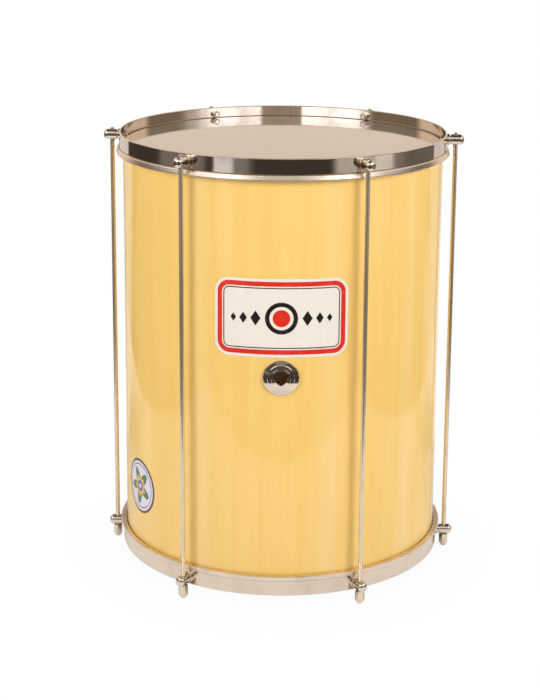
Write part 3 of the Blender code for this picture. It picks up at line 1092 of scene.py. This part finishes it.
@dataclass
class TensionRod:
    """A thin rod with a rolled thread at its lower end. Heights are from the floor."""

    radius: float = 2.5 * MM
    low: float = 5.4 * MM
    high: float = 487.3 * MM
    thread_top: float = 49.0 * MM
    pitch: float = 0.8 * MM
    depth: float = 0.32 * MM
    run_out: float = 1.5
    ease: float = 0.9 * MM
    segments: int = 20
    rings_per_turn: int = 5

    def groove(self, height: float, turn: float) -> float:
        """How deep the thread cuts at a height and an angle."""
        if height > self.thread_top:
            return 0.0
        phase = (height / self.pitch - turn / (2.0 * math.pi)) % 1.0
        fade = min(1.0, (self.thread_top - height) / (self.run_out * self.pitch))
        return self.depth * fade * abs(2.0 * phase - 1.0)

    def mesh(self) -> bpy.types.Mesh:
        """The rod, upright on the axis."""
        shape = bmesh.new()
        step = self.pitch / self.rings_per_turn
        count = round((self.thread_top - self.low) / step)
        heights = [self.low + step * index for index in range(count + 1)]
        heights += [self.thread_top + 2.0 * self.pitch, self.high - self.ease, self.high]
        rings = []
        for height in heights:
            inset = self.ease if height == self.high else 0.0
            ring = []
            for index in range(self.segments):
                turn = 2.0 * math.pi * index / self.segments
                radius = self.radius - inset - self.groove(height, turn)
                ring.append(shape.verts.new((radius * math.cos(turn), radius * math.sin(turn), height)))
            rings.append(ring)
        for first, second in zip(rings, rings[1:]):
            for index in range(self.segments):
                after = (index + 1) % self.segments
                shape.faces.new((first[index], first[after], second[after], second[index]))
        shape.faces.new(reversed(rings[0]))
        shape.faces.new(rings[-1])
        return mesh_of(shape, "tension_rod")


@dataclass
class LugPin:
    """A turned pin that sticks out of a counterhoop and takes the rod through its body.

    Lengths along it are from the rod's axis, outwards from the drum.
    """

    bore: float
    body: float = 5.6 * MM
    inward: float = 5.5 * MM
    outward: float = 6.6 * MM
    dome: float = 2.9 * MM
    dome_start: float = 1.2 * MM
    dome_steps: int = 12
    neck: float = 4.3 * MM
    neck_length: float = 1.2 * MM
    neck_round: float = 0.2 * MM
    collar: float = 6.2 * MM
    collar_start: float = -9.25 * MM
    collar_round: float = 0.3 * MM
    shank: float = 2.5 * MM
    shank_end: float = -17.2 * MM
    edge: float = 0.5 * MM
    drill_reach: float = 10.0 * MM
    segments: int = 48

    def mesh(self, name: str) -> bpy.types.Mesh:
        """The pin along +X with the rod's hole through it."""
        tip = self.outward + self.dome
        start = self.outward - self.dome_start
        corners = [
            (0.0, self.shank_end, 0.0),
            (self.shank, self.shank_end, self.edge),
            (self.shank, self.collar_start, 0.0),
            (self.collar, self.collar_start, self.collar_round),
            (self.collar, -self.inward - self.neck_length, self.edge),
            (self.neck, -self.inward - self.neck_length, self.neck_round),
            (self.neck, -self.inward, self.neck_round),
            (self.body, -self.inward, self.edge),
            (self.body, start, 0.0),
        ]
        profile = eased(corners, False, 4)
        for index in range(1, self.dome_steps):
            turn = QUARTER * index / self.dome_steps
            profile.append((self.body * math.cos(turn), start + (tip - start) * math.sin(turn)))
        profile.append((0.0, tip))
        blank = moved(turned(name, profile, self.segments), Matrix.Rotation(QUARTER, 4, "Y"))
        drill = rod_of(name + "_drill", self.bore, -self.drill_reach, self.drill_reach)
        return combined(blank, drill, "DIFFERENCE", name)


@dataclass
class LugNut:
    """The hexagon nut on a pin's shank inside the counterhoop."""

    across_flats: float = 8.0 * MM
    thickness: float = 4.0 * MM
    bore: float = 2.65 * MM
    land: float = 0.15 * MM
    ease: float = 0.55 * MM
    spare: float = 1.0 * MM
    drill_reach: float = 10.0 * MM

    def mesh(self) -> bpy.types.Mesh:
        """The nut along -X from its seat, its corners eased by a cone."""
        name = "lug_nut_blank"
        corner = self.across_flats / 2.0 / math.cos(math.pi / 6.0) + 0.1 * self.spare
        full = self.across_flats / 2.0 + self.land
        lens = [(0.0, 0.0), (full, 0.0), (corner, self.ease)]
        lens += [(corner, self.thickness - self.ease), (full, self.thickness), (0.0, self.thickness)]
        blank = prism(name, self.across_flats, -self.spare, self.thickness + self.spare)
        nut = combined(blank, turned(name + "_lens", lens, 48), "INTERSECT", name)
        drill = rod_of(name + "_drill", self.bore, -self.drill_reach, self.drill_reach)
        nut = combined(nut, drill, "DIFFERENCE", "lug_nut")
        return moved(nut, Matrix.Rotation(-QUARTER, 4, "Y"))


@dataclass
class TuningNut:
    """A long hexagon cap nut below the drum. Its rounded tip stands on the floor."""

    across_flats: float = 9.0 * MM
    length: float = 14.4 * MM
    hex_length: float = 10.0 * MM
    tip: float = 2.4 * MM
    crown_steps: int = 8
    crown_power: float = 0.95
    chamfer: float = 0.6 * MM
    chamfer_share: float = 0.9
    spare: float = 1.0 * MM
    bore: float = 2.62 * MM
    bore_depth: float = 11.6 * MM
    drill_top: float = 30.0 * MM

    def mesh(self) -> bpy.types.Mesh:
        """The nut upright on the axis, its tip on the floor and its bore open at the top."""
        name = "tuning_nut_blank"
        corner = self.across_flats / 2.0 / math.cos(math.pi / 6.0)
        shoulder = self.length - self.hex_length
        envelope = [(0.0, 0.0), (self.tip, 0.0)]
        for index in range(1, self.crown_steps + 1):
            share = index / self.crown_steps
            envelope.append((self.tip + (corner - self.tip) * share**self.crown_power, shoulder * share))
        envelope.append((corner + 0.05 * self.spare, self.length - self.chamfer))
        envelope += [(corner * self.chamfer_share, self.length), (0.0, self.length)]
        blank = prism(name, self.across_flats, -self.spare, self.length + self.spare)
        nut = combined(blank, turned(name + "_lens", envelope, 72), "INTERSECT", name)
        drill = rod_of(name + "_drill", self.bore, self.length - self.bore_depth, self.drill_top)
        return combined(nut, drill, "DIFFERENCE", "tuning_nut")


@dataclass
class Tensioning:
    """The rods, their pins and their nuts, set round the drum."""

    nut_face: float = 179.3 * MM
    pin_bores: tuple[float, float] = (2.65 * MM, 2.72 * MM)
    nut_seeds: tuple[int, ...] = (8, 15, 3, 9, 4, 5)

    def build(self, finishes: Finishes, spreader: RoundTheDrum) -> None:
        """Makes one mesh of each kind for each body."""
        name = "tension_rods"
        rods = spreader.spread(TensionRod().mesh(), name, finishes["rod"])
        hand_over(rods, name, Body.TOP_HOOP.value, finishes["rod"], DRUM.numbered("rod"))
        for end, bore in zip(End, self.pin_bores):
            word = end.word
            body = (Body.TOP_HOOP if end is End.TOP else Body.DRUM).value
            height = DRUM.middle + end.value * DRUM.pin_height
            name = f"lug_pins_{word}"
            one = LugPin(bore).mesh(f"lug_pin_{word}")
            pins = spreader.spread(one, name, finishes["chrome"], Height=height)
            hand_over(pins, name, body, finishes["chrome"], DRUM.numbered(f"lug_{word}"))
            name = f"lug_nuts_{word}"
            one = LugNut().mesh()
            nuts = spreader.spread(one, name, finishes["bright"], Height=height, Radius=self.nut_face)
            hand_over(nuts, name, body, finishes["bright"], DRUM.numbered(f"lug_nut_{word}"))
        for index, (node, seed) in enumerate(zip(DRUM.numbered("tuning_nut"), self.nut_seeds)):
            name = f"cap_nut_{index + 1}"
            nut = spreader.spread(
                TuningNut().mesh(),
                name,
                finishes["nut"],
                Count=1,
                First_Angle=DRUM.first_rod + DRUM.rod_step * index,
                Twist=math.radians(60.0),
                Seed=seed,
            )
            hand_over(nut, name, node, finishes["nut"], [node])


@dataclass
class Vent:
    """The domed and stepped chrome grommet of the shell, and its ring nut inside."""

    rim: float = 19.0 * MM
    rings: tuple[float, float] = (14.1 * MM, 10.2 * MM)
    ring_step: float = 0.28 * MM
    hole: float = 6.9 * MM
    tube: float = 10.0 * MM
    tube_length: float = 12.0 * MM
    seat: float = 0.3 * MM
    rim_thick: float = 0.9 * MM
    slopes: tuple[float, float] = (math.radians(16.5), math.radians(10.0))
    dome_steps: int = 4
    guard: float = 0.1 * MM
    mouth_round: float = 0.7 * MM
    edge: float = 0.3 * MM
    segments: int = 128

    def rise(self, radius: float) -> float:
        """How high the domed face stands over its rim, from its slopes at rim and mouth."""
        steep, flat = self.slopes
        way = self.rim - radius
        fall = (steep - flat) / (self.rim - self.hole)
        return way * steep - fall * way**2 / 2.0

    def tread(self, start: float, finish: float, lift: float) -> list[Corner]:
        """A part of the domed face between two radii, lifted by the steps before it."""
        inner = (start + (finish - start) * index / self.dome_steps for index in range(1, self.dome_steps))
        radii = (start, start - self.guard, *inner, finish + self.guard, finish)
        base = self.seat + self.rim_thick + lift
        return [(radius, base + self.rise(radius), 0.0) for radius in radii]

    def corners(self) -> list[Corner]:
        """The grommet's section, from the tube's inner end out and back over the face."""
        outer, inner = self.rings
        gap = self.ring_step
        raised = self.tread(self.rim - self.edge, outer + gap, 0.0)
        raised += self.tread(outer, inner + gap, gap)
        raised += self.tread(inner, self.hole + self.mouth_round, 2.0 * gap)
        top = raised[-1][1]
        return [
            (self.hole, -self.tube_length, self.edge),
            (self.tube, -self.tube_length, self.edge),
            (self.tube, self.seat, 0.0),
            (self.rim - self.edge, self.seat, 0.0),
            (self.rim, self.seat + self.edge, 0.0),
            (self.rim, self.seat + self.rim_thick - self.edge, 0.0),
            *raised,
            (self.hole, top - self.mouth_round, 0.0),
        ]

    def build(self, finishes: Finishes) -> None:
        """Makes the grommet and dresses the ring nut."""
        name = "stepped_grommet"
        grommet = moved(
            turned(name, eased(self.corners(), True, 4), self.segments, True),
            Matrix.Rotation(QUARTER, 4, "X"),
            Matrix.Translation((0.0, -DRUM.shell_radius, DRUM.vent)),
        )
        hand_over(grommet, name, Body.DRUM.value, finishes["chrome"], ["vent_grommet"])
        dress_node("vent_ring_nut", finishes["bright"])


@dataclass
class Sticker:
    """A thin printed sheet bent round the shell."""

    name: str
    node: str
    slot: str
    angle: float
    height: float
    width: float
    tall: float
    corner: float
    inner: float = 177.95 * MM
    outer: float = 178.2 * MM
    inside_outline: float = 0.9995
    columns: int = 96
    rows: int = 8

    def half_height(self, along: float) -> float:
        """Half the sticker's height at a distance from its middle."""
        past = abs(along) - (self.width / 2.0 - self.corner)
        if past <= 0.0:
            return self.tall / 2.0
        return self.tall / 2.0 - self.corner + math.sqrt(max(self.corner**2 - past**2, 0.0))

    def build(self, finishes: Finishes) -> None:
        """Makes the sheet as columns of faces from one end to the other."""
        shape = bmesh.new()
        walls = []
        for index in range(self.columns + 1):
            share = -math.cos(math.pi * index / self.columns) * self.inside_outline
            along = share * self.width / 2.0
            half = self.half_height(along)
            turn = self.angle + along / DRUM.shell_radius
            loop = []
            for radius, sign in ((self.outer, 1.0), (self.inner, -1.0)):
                for row in range(self.rows + 1):
                    height = self.height + sign * half * (1.0 - 2.0 * row / self.rows)
                    loop.append(shape.verts.new((radius * math.cos(turn), radius * math.sin(turn), height)))
            walls.append(loop)
        count = len(walls[0])
        for left, right in zip(walls, walls[1:]):
            for index in range(count):
                after = (index + 1) % count
                shape.faces.new((left[index], right[index], right[after], left[after]))
        shape.faces.new(walls[0])
        shape.faces.new(reversed(walls[-1]))
        mesh = mesh_of(shape, self.name)
        hand_over(mesh, self.name, Body.DRUM.value, finishes[self.slot], [self.node])


@dataclass
class PhotoCamera:
    """The photograph's camera.

    The picture is a crop: its upright lines close in less than they would in the middle of the frame
    of a camera as high as this one, so the frame is shifted down.
    """

    distance: float = 1956.8 * MM
    elevation: float = math.radians(16.199)
    pitch: float = math.radians(13.346)
    yaw: float = math.radians(-0.415)
    roll: float = math.radians(0.371)
    focal: float = 1710.4
    frame_tall: int = 700
    axis_height: float = 250.0
    sensor: float = 36.0

    def build(self) -> None:
        """Makes the camera and sets it as the scene's."""
        data = bpy.data.cameras.new("photo_camera")
        data.sensor_width = self.sensor
        data.lens = self.focal / self.frame_tall * self.sensor
        data.shift_y = (self.axis_height - self.frame_tall / 2.0) / self.frame_tall
        camera = bpy.data.objects.new("photo_camera", data)
        bpy.context.scene.collection.objects.link(camera)
        level = math.cos(self.pitch)
        ahead = Vector((math.sin(self.yaw) * level, math.cos(self.yaw) * level, -math.sin(self.pitch)))
        turn = ahead.to_track_quat("-Z", "Y").to_matrix().to_4x4() @ Matrix.Rotation(self.roll, 4, "Z")
        place = Vector((0.0, -math.cos(self.elevation), math.sin(self.elevation))) * self.distance
        camera.matrix_world = Matrix.Translation(place + Vector((0.0, 0.0, DRUM.middle))) @ turn
        bpy.context.scene.camera = camera


@dataclass(frozen=True)
class Patch:
    """A part of a studio card between two bearings, in degrees from the camera's side towards +X."""

    start: float
    soft: float
    finish: float
    fade: float
    shade: Colour
    low: float = 0.0
    high: float = 9.0
    second: bool = False


@dataclass(frozen=True)
class Softbox:
    """A large soft lamp. The bearing is in degrees from the camera's side towards +X."""

    name: str
    bearing: float
    away: float
    height: float
    wide: float
    tall: float
    glow: float


@dataclass
class Studio:
    """A white sweep, soft lamps, and cards that only polished surfaces mirror."""

    sweep_front: float = 0.6
    sweep_side: float = 0.69
    sweep_soft: float = 0.02
    card_start: float = 0.45
    far: tuple[float, float] = (1.3, 2.1)
    room: float = 3.4
    ceiling: float = 3.4
    level_soft: float = 0.15
    card_height: float = 3.0 * MM
    sweep_shade: Colour = (0.94, 0.92, 0.9)
    sweep_shadow: Colour = (0.42, 0.39, 0.35)
    near: Colour = (0.06, 0.047, 0.035)
    near_back: Colour = (0.74, 0.72, 0.69)
    ceiling_hole: float = 1.5
    dark: Colour = (0.05, 0.042, 0.037)
    backdrop: Colour = (0.83, 0.69, 0.57)
    sky: tuple[float, float] = (0.15, 0.15)
    side_sky: tuple[float, float] = (0.0, 0.0)
    floor_shade: Colour = (0.6, 0.59, 0.58)
    mirrored: float = 0.66
    softboxes: tuple[Softbox, ...] = (
        Softbox("left_softbox", -48.0, 2.5, 1.45, 1.4, 1.3, 7.45),
        Softbox("right_softbox", 46.0, 2.5, 1.45, 1.4, 1.3, 8.15),
        Softbox("left_wall", -95.0, 2.2, 1.1, 1.6, 1.6, 1.05),
        Softbox("right_wall", 95.0, 2.2, 1.1, 1.6, 1.6, 1.15),
        Softbox("back_softbox", 180.0, 1.8, 2.4, 1.6, 1.2, 8.0),
    )
    floor_patches: tuple[Patch, ...] = (
        Patch(-88.0, 6.0, -56.0, 6.0, (0.19, 0.18, 0.17)),
        Patch(-34.0, 2.0, -26.0, 9.0, (0.22, 0.22, 0.21)),
        Patch(-45.0, 2.5, -35.0, 4.0, (0.76, 0.77, 0.83)),
        Patch(39.0, 8.0, 78.0, 8.0, (0.5, 0.49, 0.48)),
        Patch(66.0, 4.0, 76.0, 4.0, (0.74, 0.74, 0.73)),
        Patch(84.0, 8.0, 128.0, 4.0, (0.24, 0.22, 0.2)),
        Patch(94.0, 12.0, 128.0, 6.0, (0.15, 0.135, 0.12)),
        Patch(127.0, 1.5, 200.0, 1.0, (0.66, 0.66, 0.66)),
        Patch(-200.0, 1.0, -133.0, 1.5, (0.7, 0.7, 0.7)),
    )
    wall_patches: tuple[Patch, ...] = (
        Patch(-116.0, 10.0, 116.0, 10.0, (0.1, 0.085, 0.07)),
        Patch(-116.0, 10.0, 116.0, 10.0, (0.8, 0.76, 0.7), 1.8, 9.0),
        Patch(-15.0, 2.0, 18.0, 2.0, (0.34, 0.3, 0.26), 0.96, 1.04),
        Patch(18.0, 2.0, 46.0, 42.0, (2.3, 2.4, 2.6), 0.98, 1.02, True),
        Patch(-54.0, 20.0, -15.0, 2.0, (2.3, 2.4, 2.6), 0.98, 1.02, True),
        Patch(28.0, 8.0, 62.0, 10.0, (2.2, 2.15, 2.1), 1.5, 9.0),
        Patch(-62.0, 10.0, -28.0, 8.0, (2.2, 2.15, 2.1), 1.5, 9.0),
        Patch(66.0, 6.0, 96.0, 6.0, (1.1, 1.05, 1.0), 1.5, 9.0),
        Patch(-96.0, 6.0, -66.0, 6.0, (1.1, 1.05, 1.0), 1.5, 9.0),
        Patch(168.0, 5.0, 200.0, 1.0, (0.05, 0.042, 0.037), 1.5, 9.0),
        Patch(-200.0, 1.0, -168.0, 5.0, (0.05, 0.042, 0.037), 1.5, 9.0),
    )
    cornice_patches: tuple[Patch, ...] = (Patch(-150.0, 10.0, 150.0, 10.0, (0.7, 0.66, 0.6)),)

    def shown_white(self, net: Net, lit: Value) -> Value:
        """Mixes plain white over the lit floor for the camera and for mirrors, all of it far out.

        Args:
            net: the material's nodes.
            lit: the lit shader.

        Returns:
            The mixed shader.
        """
        white = net.out(net.add("ShaderNodeEmission", {"Color": (1.0, 1.0, 1.0), "Strength": 1.0}))
        path = net.add("ShaderNodeLightPath")
        seen = net.maths("MAXIMUM", net.out(path, "Is Camera Ray"), net.out(path, "Is Transmission Ray"))
        radius = net.radius()
        share = radius.step(0.18, 0.31).ramp(0.96, 1.0)
        along = net.parts(net.place())[1]
        near = radius.step(0.17, 0.2) * along.step(0.12, -0.06).ramp(0.2, 1.0)
        mirrored = net.out(path, "Is Glossy Ray") * near * self.mirrored
        factor = net.maths("MAXIMUM", seen * share, mirrored)
        return net.out(net.add("ShaderNodeMixShader", {0: factor, 1: lit, 2: white}))

    def floor(self) -> None:
        """Makes the floor, which keeps the drum's shadow."""
        shape = bmesh.new()
        bmesh.ops.create_grid(shape, x_segments=1, y_segments=1, size=self.room * 3.0)
        ground = object_of(mesh_of(shape, "studio_floor"), "studio_floor")
        paint = bpy.data.materials.new("studio_floor")
        paint.use_nodes = True
        net = Net(paint.node_tree)
        shader = paint.node_tree.nodes["Principled BSDF"]
        Finish.dress(net, shader, Base_Color=self.floor_shade, Roughness=0.9, Specular_IOR_Level=0.0)
        output = paint.node_tree.nodes["Material Output"]
        net.feed(output.inputs["Surface"], self.shown_white(net, net.out(shader)))
        ground.data.materials.append(paint)

    def card(self, name: str, profile: Profile, base: Colour, patches: Sequence[Patch]) -> Net:
        """Makes a round card that only mirrors see.

        Args:
            name: the card's name.
            profile: its section, as radius and height.
            base: its own shade.
            patches: the parts of another shade, each over the last.

        Returns:
            Its nodes.
        """
        made = object_of(turned(name, profile, 96), name)
        paint = bpy.data.materials.new(name)
        paint.use_nodes = True
        net = Net(paint.node_tree)
        bearing = net.around(-QUARTER)
        height = net.parts(net.place())[2]
        twice = net.out(net.add("ShaderNodeLightPath"), "Glossy Depth").step(1.4, 1.6)
        shade: Value | Colour = base
        for patch in patches:
            widths = (patch.start, patch.finish, patch.soft, patch.fade)
            mask = bearing.band(*(math.radians(value) for value in widths))
            if patch.low > 0.0:
                mask = mask * height.band(patch.low, patch.high, self.level_soft)
            if patch.second:
                mask = mask * twice
            shade = net.mix(mask, shade, patch.shade)
        glow = net.add("ShaderNodeEmission", {"Color": shade}, name="glow")
        net.feed(paint.node_tree.nodes["Material Output"].inputs["Surface"], net.out(glow))
        made.data.materials.append(paint)
        made.visible_camera = False
        made.visible_diffuse = False
        made.visible_shadow = False
        made.visible_transmission = False
        return net

    def cards(self) -> None:
        """Sets the studio round the sweep, which the metal shows as its dark and pale streaks."""
        low = self.card_height
        ring = [(self.card_start, low), (self.room, low)]
        net = self.card("card_floor", ring, self.dark, self.floor_patches)
        glow = net.tree.nodes["glow"]
        shade = Value(net, glow.inputs["Color"].links[0].from_socket)
        radius = net.radius()
        bearing = net.around(-QUARTER)
        turned_off = abs(bearing)
        back = bearing.step(math.radians(112.0), math.radians(124.0))
        back = back + bearing.step(math.radians(-128.0), math.radians(-138.0))
        shade = net.mix(radius.step(*self.far), net.mix(back, self.near, self.near_back), shade)
        across, along, _ = net.parts(net.place())
        soft = self.sweep_soft
        inside = along.step(-self.sweep_front - soft, -self.sweep_front + soft)
        inside = inside * abs(across).step(self.sweep_side + soft, self.sweep_side - soft)
        behind = (math.radians(angle) for angle in (112.0, 128.0, 14.0, 10.0))
        shadow = turned_off.band(*behind) * radius.step(0.85, 0.55)
        sweep = net.mix(shadow, self.sweep_shade, self.sweep_shadow)
        net.feed(glow.inputs["Color"], net.mix(inside, shade, sweep))
        wall = [(self.room, low), (self.room, self.ceiling)]
        self.card("card_wall", wall, self.backdrop, self.wall_patches)
        ceiling = [(0.0, self.ceiling), (self.ceiling_hole, self.ceiling)]
        self.card("card_ceiling", ceiling, self.dark, ())
        cornice = [(self.ceiling_hole, self.ceiling), (self.room, self.ceiling)]
        self.card("card_cornice", cornice, self.dark, self.cornice_patches)

    def lamp(self, box: Softbox) -> None:
        """Adds a soft lamp that looks at the drum's middle."""
        data = bpy.data.lights.new(box.name, "AREA")
        data.shape = "RECTANGLE"
        data.size = box.wide
        data.size_y = box.tall
        data.energy = box.glow * math.pi * box.wide * box.tall
        data.color = (1.0, 0.98, 0.95)
        made = bpy.data.objects.new(box.name, data)
        bpy.context.scene.collection.objects.link(made)
        turn = math.radians(box.bearing)
        made.location = (box.away * math.sin(turn), -box.away * math.cos(turn), box.height)
        aim = Vector((0.0, 0.0, DRUM.middle)) - made.location
        made.rotation_euler = aim.to_track_quat("-Z", "Y").to_euler()
        made.visible_camera = False
        made.visible_glossy = False

    def world(self) -> None:
        """Lights the drum evenly, and shows white behind it."""
        sky = bpy.data.worlds.new("studio")
        sky.use_nodes = True
        bpy.context.scene.world = sky
        sky.node_tree.nodes.clear()
        net = Net(sky.node_tree)
        path = net.add("ShaderNodeLightPath")
        seen = net.maths("MAXIMUM", net.out(path, "Is Camera Ray"), net.out(path, "Is Glossy Ray"))
        seen = net.maths("MAXIMUM", seen, net.out(path, "Is Transmission Ray"))
        across, along, _ = net.parts(net.place())
        left, right = self.side_sky
        strength = along.step(-0.4, 0.8).ramp(*self.sky)
        strength = strength + across.step(-0.1, -1.0) * left + across.step(0.1, 1.0) * right
        soft = net.out(net.add("ShaderNodeBackground", {"Color": (1.0, 0.985, 0.96), "Strength": strength}))
        white = net.out(net.add("ShaderNodeBackground", {"Color": (1.0, 1.0, 1.0), "Strength": 1.0}))
        mixed = net.out(net.add("ShaderNodeMixShader", {0: seen, 1: soft, 2: white}))
        net.add("ShaderNodeOutputWorld", {0: mixed})

    def build(self) -> None:
        """Makes the whole studio."""
        self.floor()
        self.cards()
        self.world()
        for box in self.softboxes:
            self.lamp(box)
        bpy.context.scene.view_settings.view_transform = "Standard"


def clear_startup() -> None:
    """Removes what Blender's startup scene holds."""
    for name in ("Cube", "Light", "Camera"):
        old = bpy.data.objects.get(name)
        if old is not None:
            bpy.data.objects.remove(old, do_unlink=True)


def main() -> None:
    """Builds the drum, its studio and its camera."""
    logging.basicConfig(level=logging.INFO, format="%(name)s: %(message)s")
    clear_startup()
    finishes = Finishes()
    spreader = RoundTheDrum()
    PhotoCamera().build()
    Studio().build()
    Shell().build(finishes)
    for end in End:
        DrumEnd(end).build(finishes, spreader)
    Tensioning().build(finishes, spreader)
    Vent().build(finishes)
    label = LabelFinish("label_layout")
    Sticker(
        "shell_label", "front_label", "label", label.angle, label.height, label.width, label.tall, label.corner
    ).build(finishes)
    badge = BadgeFinish("badge_layout")
    radius = 31.0 * MM
    Sticker(
        "round_badge", "side_badge", "badge", badge.angle, badge.height, radius * 2.0, radius * 2.0, radius
    ).build(finishes)


if __name__ == "__main__":
    main()
